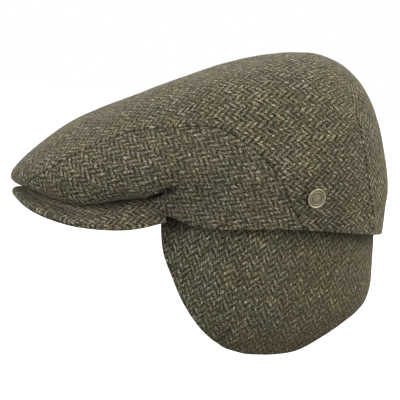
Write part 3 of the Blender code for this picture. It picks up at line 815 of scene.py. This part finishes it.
def drift_group():
    """Group of slow changes in a tweed's colour, as a tint near 1: greener, browner and cooler areas."""
    given, made, tree = new_group("tweed_drift", {"Place": "Vector"}, {"Tint": "Color"})
    place = given["Place"]
    warm, green = (spread(noise(place, scale, 3.0, 0.6), 0.38, 0.62) for scale in (42.0, 90.0))
    bright = spread(noise(place, 150.0, 4.0, 0.65), 0.3, 0.7, 0.76, 1.24)
    tint = blend(warm, (0.95, 0.99, 1.05, 1.0), (1.08, 1.0, 0.88, 1.0))
    fill(made, {"Tint": times(blend(green, tint, (0.98, 1.02, 0.94, 1.0)), grey(bright))})
    return tree


HERRINGBONE, DRIFT = herringbone_group(), drift_group()
print("Node groups:", HERRINGBONE.name, DRIFT.name)

# %% [markdown]
# Wool scatters light from loose fibre ends, so it never shines and its outline looks a little pale:
# high roughness and some sheen. The ear flap is the same tweed, only a shade darker. Where the cloth
# is felted, loose fibres hide the weave.

# %% Cloth and metal materials
FELT, DARK_YARN = (0.1, 0.084, 0.05, 1.0), (0.035, 0.032, 0.0175, 1.0)
CROWN_YARNS = (0.272, 0.247, 0.195, 1.0), (0.207, 0.19, 0.146, 1.0), DARK_YARN, (0.068, 0.057, 0.032, 1.0)
FLAP_YARNS = (0.255, 0.239, 0.184, 1.0), (0.192, 0.184, 0.135, 1.0), DARK_YARN, (0.064, 0.055, 0.031, 1.0)
DULL_PEWTER, BRIGHT_PEWTER = (0.13, 0.118, 0.08, 1.0), (0.47, 0.43, 0.325, 1.0)


def new_material(name):
    material = bpy.data.materials.new(name)
    material.use_nodes = True
    return material, material.node_tree, material.node_tree.nodes["Principled BSDF"]


def tweed(name, colours):
    """A herringbone wool cloth in four colours for YARNS."""
    material, tree, shader = new_material(name)
    cloth, place = add("UVMap", tree=tree, uv_map="cloth"), add("TexCoord", output="Object", tree=tree)
    weave = add("Group", {"Cloth": cloth, **dict(zip(YARNS, colours))}, "Color", node_tree=HERRINGBONE)
    tint = add("Group", {"Place": place}, "Tint", node_tree=DRIFT)
    felt = times(FELT, grey(weave.other("Fibre")))
    colour = blend(attribute(tree, "felted"), times(weave, tint), felt)
    # The mask of painted shade darkens the base colour, and where it is below 0 it paints light.
    fill(shader, {
        "Base Color": times(colour, grey(1.0 - attribute(tree, "painted_shade"))), "Roughness": 0.92,
        "Specular IOR Level": 0.2, "Sheen Weight": 0.15, "Sheen Roughness": 0.35,
        "Sheen Tint": (1.0, 0.93, 0.78, 1.0), "Normal": bump(weave.other("Height"), 0.55, 0.0004),
    })
    return material


def pewter():
    """Antiqued pewter: bright on its ridges, dark and duller between them."""
    material, tree, shader = new_material("pewter")
    grain = noise(add("TexCoord", output="Object", tree=tree), 900.0, 4.0, 0.6)
    ridge = spread(attribute(tree, "ridge") + (grain - 0.5) * 0.7, 0.25, 0.8)
    fill(shader, {
        "Base Color": blend(ridge, DULL_PEWTER, BRIGHT_PEWTER), "Roughness": spread(ridge, 0.0, 1.0, 0.62, 0.34),
        "Metallic": 0.9, "Normal": bump(grain, 0.25, 0.0002),
    })
    return material


CROWN_TWEED, FLAP_TWEED, PEWTER = tweed("crown tweed", CROWN_YARNS), tweed("flap tweed", FLAP_YARNS), pewter()
print("Materials:", CROWN_TWEED.name, FLAP_TWEED.name, PEWTER.name)

# %% [markdown]
# The top panel is one piece from the nose over the apex to the rim at the back. Two darts behind the
# ears take in its fullness, and the weave breaks there.

# %% The top panel of the crown
FLANK_RISE, RIM_RISE, RISE_HEIGHTS = np.radians(18.0), np.radians(3.0), (0.01, 0.07)
FLANK_HOLD, HOLD_BACK, HOLD_HEIGHTS = 0.9, (-0.01, 0.03), (0.115, 0.085)
TOP_GRAINS = {"under": (0.0, -1.0, 0.2, 0.0), "nose": (0.0, 0.3, 1.0, 0.0), "rear": (0.0, 0.7, -0.7, 0.0)}


def top_grain(name, centre):
    """The columns run back over the crown, rise a little on the flanks, and run down the back."""
    if name in TOP_GRAINS:
        return TOP_GRAINS[name]
    hold = FLANK_HOLD * between(centre[:, 1], *HOLD_BACK) * between(centre[:, 2], *HOLD_HEIGHTS)
    rise = RIM_RISE + (FLANK_RISE - RIM_RISE) * between(centre[:, 2], *RISE_HEIGHTS)
    return np.stack((0.0 * rise, np.cos(rise), np.sin(rise), hold), axis=1)


def even(count):
    """Shares from 0 to 1 at even steps. A power over 1 crowds them towards 0."""
    return np.linspace(0.0, 1.0, count + 1)


def top_cut(name, s, t):
    """Marks the rear patch's points along the dart, below its tip."""
    s, t = np.meshgrid(s, t)
    row = RIM_START + t * (APEX_ROW - RIM_START)
    return ((name == "rear") & (s == 0.0) & (row < DART_TOP_ROW)).astype(int)


TOP_ROWS, COARSE_ROWS, NEAR_DART = even(72) ** 1.3, even(14), even(34) ** 1.8
TOP_PATCHES = [
    ("under", even(4), even(5), even(16), even(20)),
    ("nose", even(4), COARSE_ROWS, even(16), TOP_ROWS),
    ("seam", even(26), COARSE_ROWS, even(150), TOP_ROWS),
    ("flank", even(6), COARSE_ROWS, 1.0 - NEAR_DART[::-1], TOP_ROWS),
    ("rear", even(6), COARSE_ROWS, NEAR_DART, TOP_ROWS),
]
TOP_SHEET = build_sheet(TOP_PATCHES, top_surface, top_grain, top_cut)
dress("crown_cloth", TOP_SHEET, crown_relief, top_masks, SHELL, CROWN_TWEED, "crown_top", "cloth")

# %% [markdown]
# The side panels are leaf-shaped, with their point at the nose. They bulge over the peak and fold in
# under themselves. The right one is the mirror image of the left.

# %% The side panels
SIDE_GRAIN, RIGHT_SHIFT = (0.0, 0.87, -0.492, 0.0), (0.31, 0.17)
LEFT = build_sheet(
    [("side", even(26), even(10), even(160), even(56))], side_surface, lambda name, centre: SIDE_GRAIN, mirrored=False
)
RIGHT = (LEFT[0] * (-1.0, 1.0, 1.0), LEFT[1][:, ::-1], LEFT[2][:, ::-1] * (1.0, -1.0) + RIGHT_SHIFT)
for side, sheet in (("left", LEFT), ("right", RIGHT)):
    dress("side_cloth_" + side, sheet, crown_relief, side_masks, SHELL, CROWN_TWEED, "side_panel_" + side, "cloth")

# %% [markdown]
# The peak is stiff board covered in the same cloth. It starts under the rim, curves down at its sides
# and has a full round edge. Its two ends thin out and are lifted into the fold of the side panels.

# %% The peak
PEAK_DEPTH, PEAK_DROP, PEAK_THICKNESS, PEAK_LEAST, PEAK_CORNER, PEAK_TUCK = 0.0658, 0.0125, 0.0045, 0.0004, 56.0, 0.004
PEAK_LIFT, LIFT_ANGLES, LIFT_BOW, END_THICKNESS, END_DROP = 0.01, (30.0, 50.0), 0.7, 0.0022, 0.0032
PEAK_BOW, BOW_ANGLES, PEAK_LUMP, PEAK_SEED, PEAK_GRAIN = 0.32, (6.0, 20.0), 0.2, 5, (0.0, 1.0, 0.0, 0.0)
# The whole peak is a little darker, and painted shade falls from the crown's nose near its fold:
PEAK_DIM, NOSE_SHADE, NOSE_SHADE_REACH, NOSE_SHADE_ANGLES = 0.06, 0.26, 0.0075, (38.0, 24.0)
PEAK_TABLE = np.array((
    (0, 1, 0.62), (0.19, 0.955, 0.42), (0.34, 0.884, 0.03), (0.48, 0.788, -0.27), (0.58, 0.692, -0.43),
    (0.7, 0.561, -0.46), (0.83, 0.397, -0.33), (0.93, 0.225, -0.08), (1, 0.03, 0.25),
))


def peak_lift(angle):
    """Share, from 0 to 1, by which the peak's ends are lifted into the fold."""
    return ramp(np.abs(angle), *LIFT_ANGLES)


def peak_surface(name, s, t):
    """The peak's top face: s turns from its middle to its corner, t runs from its edge in to the rim."""
    turn, rest = PEAK_TABLE[:, 0], PEAK_TABLE[:, 1:]
    s = np.sin(s * np.pi / 2)
    depth, edge_up = table_curve(np.append(-turn[:0:-1], turn), np.concatenate((rest[:0:-1], rest)), s).T
    angle = s * PEAK_CORNER
    lift = peak_lift(angle)
    outer = rim_reach(angle) + FIT + np.maximum(depth * PEAK_DEPTH - PEAK_THICKNESS / 2, PEAK_LEAST)
    inner = rim_reach(angle) - PEAK_TUCK * (1.0 - lift)
    inner_up = rim_height(angle) + 2 * FIT + PEAK_LIFT * lift
    outer_up = edge_up * PEAK_DROP - END_DROP * lift
    share = 1.0 - t[:, None]
    bow = 1.0 + PEAK_BOW * ramp(angle, *BOW_ANGLES) + (LIFT_BOW - PEAK_BOW) * lift
    reach = inner + share * (outer - inner)
    height = inner_up + share**bow * (outer_up - inner_up)
    return standing(angle, reach, height)


def peak_masks(points):
    """Painted shade where the crown's nose keeps light off the peak, by exp(-(d / reach)^2) at a distance d outside its
    fold, and painted light in the hollow.
    """
    angle, away, light = under_nose(points)
    shade = NOSE_SHADE * ramp(angle, *NOSE_SHADE_ANGLES) * bell(np.maximum(away, 0.0), NOSE_SHADE_REACH)
    return {"painted_shade": PEAK_DIM + shade - light}


PEAK_SHEET = build_sheet(
    [("peak", even(12), even(8), even(90), even(34) ** 1.4)], peak_surface, lambda name, centre: PEAK_GRAIN
)
dress(
    "peak_cloth", PEAK_SHEET, lambda points: PEAK_LUMP * LUMP * lumps(points, STRAY_SIZE, PEAK_SEED), peak_masks,
    PEAK_THICKNESS - (PEAK_THICKNESS - END_THICKNESS) * peak_lift(bearing(PEAK_SHEET[0])), CROWN_TWEED, "peak", "cloth",
)

# %% [markdown]
# The ear flap is a doubled strip of the tweed. It comes out from inside the rim and hangs free, deep
# over the ears and shallow at the nape. Its table has a row for each direction: depth as a share of
# the deepest, and shares of the inset and the lean.

# %% The ear flap
FLAP_DEPTH, FLAP_THICKNESS, FLAP_INSET, FLAP_LEAN, FLAP_TUCK_ROW, HANGING = 0.0903, 0.003, 0.005, 0.003, 1.0, 0.9
FLAP_CURL, CURL_FROM, NAPE_CURL, NAPE_REACH, NAPE_ANGLES = 0.009, 0.046, 0.0034, 0.016, (145.0, 170.0)
EDGE_WAVE, WAVE_SIZE, WAVE_SEED, WAVE_FULL = 0.0004, 0.024, 31, 0.03
FLAP_TABLE = np.array((
    (50.4, 0.1, 1.2, 0.2), (52.7, 0.29, 1.2, 0.2), (57.9, 0.43, 1.1, 0.25), (64, 0.56, 0.9, 0.35),
    (71, 0.695, 0.7, 0.5), (78, 0.81, 0.6, 0.6), (88, 0.92, 0.5, 0.7), (99, 0.98, 0.3, 0.8),
    (111, 1.01, 0.6, 0.9), (123, 1, 0.85, 0.6), (135, 0.925, 0.9, 0.2), (150, 0.755, 0.85, -0.4),
    (165, 0.625, 0.75, -1.15), (180, 0.55, 0.66, -1.45),
))
# Painted shade of the rim's shadow: direction, strength and reach below the rim.
RIM_SHADE_TABLE = np.array((
    (50, 0.85, 0.013), (60, 0.8, 0.013), (67, 0.4, 0.006), (90, 0.34, 0.0045), (112, 0.36, 0.005),
    (125, 0.45, 0.008), (140, 0.52, 0.008), (180, 0.5, 0.008),
))
EDGE_REACH, EDGE_DARK, EDGE_FELT, EDGE_ANGLES = 0.017, 0.22, 0.42, (72.0, 84.0)
BACK_FELT, FELT_ANGLES, BACK_DARK, DARK_ANGLES, MOST_MASK = 0.25, (92.0, 122.0), 0.06, (80.0, 120.0), 0.9
FOLD_LINE, FOLD_HALF = np.array(((0.005, -0.065), (-0.005, -0.0815))), 0.65
FOLD_VALLEY, VALLEY_WIDTH, FOLD_SWELL, FOLD_SWELL_BELL = 0.0014, 0.0018, 0.001, (0.005, 0.0055)
# Painted shade in the fold's valley: strength and width.
FOLD_SHADE, FOLD_SHADE_WIDTH = 0.3, 0.0016
FLAP_LUMP_SIZE, FLAP_SEED = 0.05, 21
FLAP_GRAIN = (0.0, -0.276, -0.961, 0.0)


def flap_surface(name, s, t):
    """The flap's outer face: s runs from the temple to the nape, t from the lower edge up to the tuck."""
    angle, depth, inset, lean = along_table(FLAP_TABLE, s).T
    depth = np.maximum(depth * FLAP_DEPTH - FLAP_THICKNESS / 2, 0.001)
    depth += EDGE_WAVE * lumps(crown(angle, 0.0), WAVE_SIZE, WAVE_SEED) * np.minimum(depth / WAVE_FULL, 1.0)
    fall = (1.0 - np.minimum(t / HANGING, 1.0)[:, None]) * depth
    reach = rim_reach(angle) - CLOTH - FIT - inset * FLAP_INSET - lean * FLAP_LEAN * fall / FLAP_DEPTH
    reach = reach - FLAP_CURL * between(fall, CURL_FROM, FLAP_DEPTH) ** 2
    reach = reach - NAPE_CURL * between(angle, *NAPE_ANGLES) * between(depth - fall, NAPE_REACH, 0.0) ** 2
    hanging, tuck = standing(angle, reach, rim_height(angle) - fall), crown(angle, FLAP_TUCK_ROW)
    tuck = standing(angle, np.linalg.norm(tuck[:, :2], axis=1) - CLOTH - 4 * FIT, tuck[:, 2])
    return hanging + between(t, HANGING, 1.0)[:, None, None] * (tuck - hanging)


def flap_fold(points):
    """Distance behind a small fold in the left ear's cloth, and a fade to nothing at the fold's ends."""
    run = FOLD_LINE[1] - FOLD_LINE[0]
    gap = points[:, 1:] - FOLD_LINE[0]
    behind = (gap[:, 1] * run[0] - gap[:, 0] * run[1]) / np.linalg.norm(run)
    return behind, np.exp(-((np.abs(gap @ run / (run @ run) - 0.5) / FOLD_HALF) ** 4)) * (points[:, 0] > 0.0)


def flap_relief(points):
    """Soft lumps, and the fold: a valley with a low swell behind it."""
    behind, fade = flap_fold(points)
    fold = FOLD_SWELL * bell(behind, *FOLD_SWELL_BELL) - FOLD_VALLEY * bell(behind, VALLEY_WIDTH)
    return LUMP * lumps(points, FLAP_LUMP_SIZE, FLAP_SEED) + fade * fold


def flap_masks(points):
    """Painted shade on the flap and how felted it is, from 0 to 1.

    Painted shade stands for the rim's shadow, by exp(-(fall / reach)^2) at a distance fall below it, and the
    lower edge, which turns in, is darker and rubbed by exp(-(rise / EDGE_REACH)^2) at a distance rise above
    it. The fold's valley also gets painted shade.
    """
    angle = bearing(points)
    fall = rim_height(angle) - points[:, 2]
    rise = np.interp(angle, FLAP_TABLE[:, 0], FLAP_TABLE[:, 1]) * FLAP_DEPTH - fall
    under, reach = mirrored_curve(RIM_SHADE_TABLE, angle).T
    edge = bell(rise, EDGE_REACH) * between(angle, *EDGE_ANGLES)
    behind, fade = flap_fold(points)
    painted_shade = under * bell(np.maximum(fall, 0.0), reach) + EDGE_DARK * edge
    painted_shade += BACK_DARK * between(angle, *DARK_ANGLES) + FOLD_SHADE * fade * bell(behind, FOLD_SHADE_WIDTH)
    felted = EDGE_FELT * edge + BACK_FELT * between(angle, *FELT_ANGLES)
    return {"painted_shade": np.clip(painted_shade, 0.0, MOST_MASK), "felted": np.clip(felted, 0.0, MOST_MASK)}


FLAP_SHEET = build_sheet(
    [("flap", even(20), even(10), even(130), even(60))], flap_surface, lambda name, centre: FLAP_GRAIN
)
flap = dress("flap_cloth", FLAP_SHEET, flap_relief, flap_masks, FLAP_THICKNESS, FLAP_TWEED, "ear_flap", "flap_cloth")
flat_area = np.abs(doubled(FLAP_SHEET[2])).sum() / 2
flat_size = np.ptp(FLAP_SHEET[2], axis=(0, 1))[::-1]
print("Flap cut flat, mm:", (flat_size * 1000).round(1), "area, cm2:", round(flat_area * 1e4, 1))

# %% [markdown]
# A snap button covers the rivet behind the left side panel. It is turned from one profile: a rounded
# rim, a flat floor, a ring and a low middle.

# %% The button
BUTTON_DIAMETER, BUTTON_HEIGHT, BUTTON_ANGLE, BUTTON_ROW, BUTTON_TILT = 0.0145, 0.0022, 123.4, 2.43, 0.13
RIDGE_UP = (0.5, 0.95)
BUTTON_PROFILE = np.array((
    (0, 0.74), (0.14, 0.74), (0.26, 0.73), (0.36, 0.71), (0.44, 0.7), (0.5, 0.6), (0.54, 0.6), (0.59, 0.76),
    (0.66, 0.78), (0.72, 0.62), (0.76, 0.62), (0.81, 0.86), (0.86, 0.97), (0.91, 1), (0.95, 0.92), (0.99, 0.66),
    (1, 0.45), (0.97, 0.2), (0.9, 0.06), (0.6, 0.06), (0, 0.06),
))


def make_button(steps=100, turns=96, apart=0.05):
    """Turn the profile round the crown's normal: point = centre + r (cos e + sin f) + height normal."""
    centre = crown(BUTTON_ANGLE, BUTTON_ROW)
    turned = crown(BUTTON_ANGLE + apart, BUTTON_ROW) - centre
    raised = crown(BUTTON_ANGLE, BUTTON_ROW + apart) - centre
    normal = unit(unit(np.cross(turned, raised)) + BUTTON_TILT * unit(turned))
    first = flatten(turned, normal)
    out, up = along_table(BUTTON_PROFILE, even(steps)).T
    turn = 2.0 * np.pi * even(turns)[:, None]
    ring = np.cos(turn) * first + np.sin(turn) * np.cross(normal, first)
    out = np.clip(out, 0.0, 1.0) * BUTTON_DIAMETER / 2
    grid = centre + out[:, None, None] * ring + up[:, None, None] * BUTTON_HEIGHT * normal
    points, faces = grid.reshape(-1, 3), patch_triangles(steps + 1, turns + 1)
    first, number, keep = weld(points, faces)
    faces = number[faces[keep, ::-1]]
    piece = add_piece("button_metal", points[first], faces, None, PEWTER, "button", "button_metal")
    keep_mask(piece, "ridge", np.repeat(between(up, *RIDGE_UP), turns + 1)[first])


make_button()

# %% [markdown]
# The floor lies well below the cap, as if a head held it. The light is soft and comes from all sides,
# as in a light tent. Wide, warmer lamps in front and behind lighten the nose and the nape.

# %% Floor and light
FLOOR_DOWN, FLOOR_SIZE, SKY_LIGHT, LAMP_SIZE, WHITE = 0.24, 24.0, 0.95, 1.2, (1.0, 1.0, 1.0, 1.0)


def make_floor():
    """A large square below the cap, white to the camera and a softer grey to the cap."""
    mesh = bpy.data.meshes.new("floor")
    half = FLOOR_SIZE / 2
    mesh.from_pydata([(x, y, -FLOOR_DOWN) for x in (-half, half) for y in (-half, half)], [], [(0, 2, 3, 1)])
    material, tree, shader = new_material("floor white")
    seen = add("LightPath", output="Is Camera Ray", tree=tree)
    fill(shader, {
        "Base Color": (0.45, 0.45, 0.45, 1.0), "Roughness": 0.9, "Emission Color": WHITE, "Emission Strength": seen,
    })
    mesh.materials.append(material)
    put("floor", mesh)


def make_lamp(name, place, energy, colour):
    """A square lamp that faces the cap and stays out of the picture."""
    lamp = bpy.data.lights.new(name, "AREA")
    lamp.size, lamp.energy, lamp.color = LAMP_SIZE, energy, colour
    stand = put(name, lamp)
    stand.location = Vector(place)
    stand.rotation_euler = Vector(place).to_track_quat("Z", "Y").to_euler()
    stand.visible_camera = False


def make_world():
    """White to the camera, and a weaker even light on the cap."""
    world = bpy.data.worlds.new("studio")
    world.use_nodes = True
    seen = add("LightPath", output="Is Camera Ray", tree=world.node_tree)
    fill(world.node_tree.nodes["Background"], {"Color": WHITE, "Strength": seen.math("MAXIMUM", SKY_LIGHT)})
    bpy.context.scene.world = world


make_floor()
make_world()
make_lamp("front", (0.3, -1.0, 1.0), 7.7, (1.0, 0.95, 0.79))
make_lamp("back", (0.3, 1.0, 1.0), 5.5, (1.0, 0.9, 0.66))
make_lamp("low", (0.2, 1.4, 0.25), 3.3, (1.0, 0.85, 0.45))
bpy.context.scene.view_settings.view_transform = "Standard"
print("Lights:", len(bpy.data.lights))
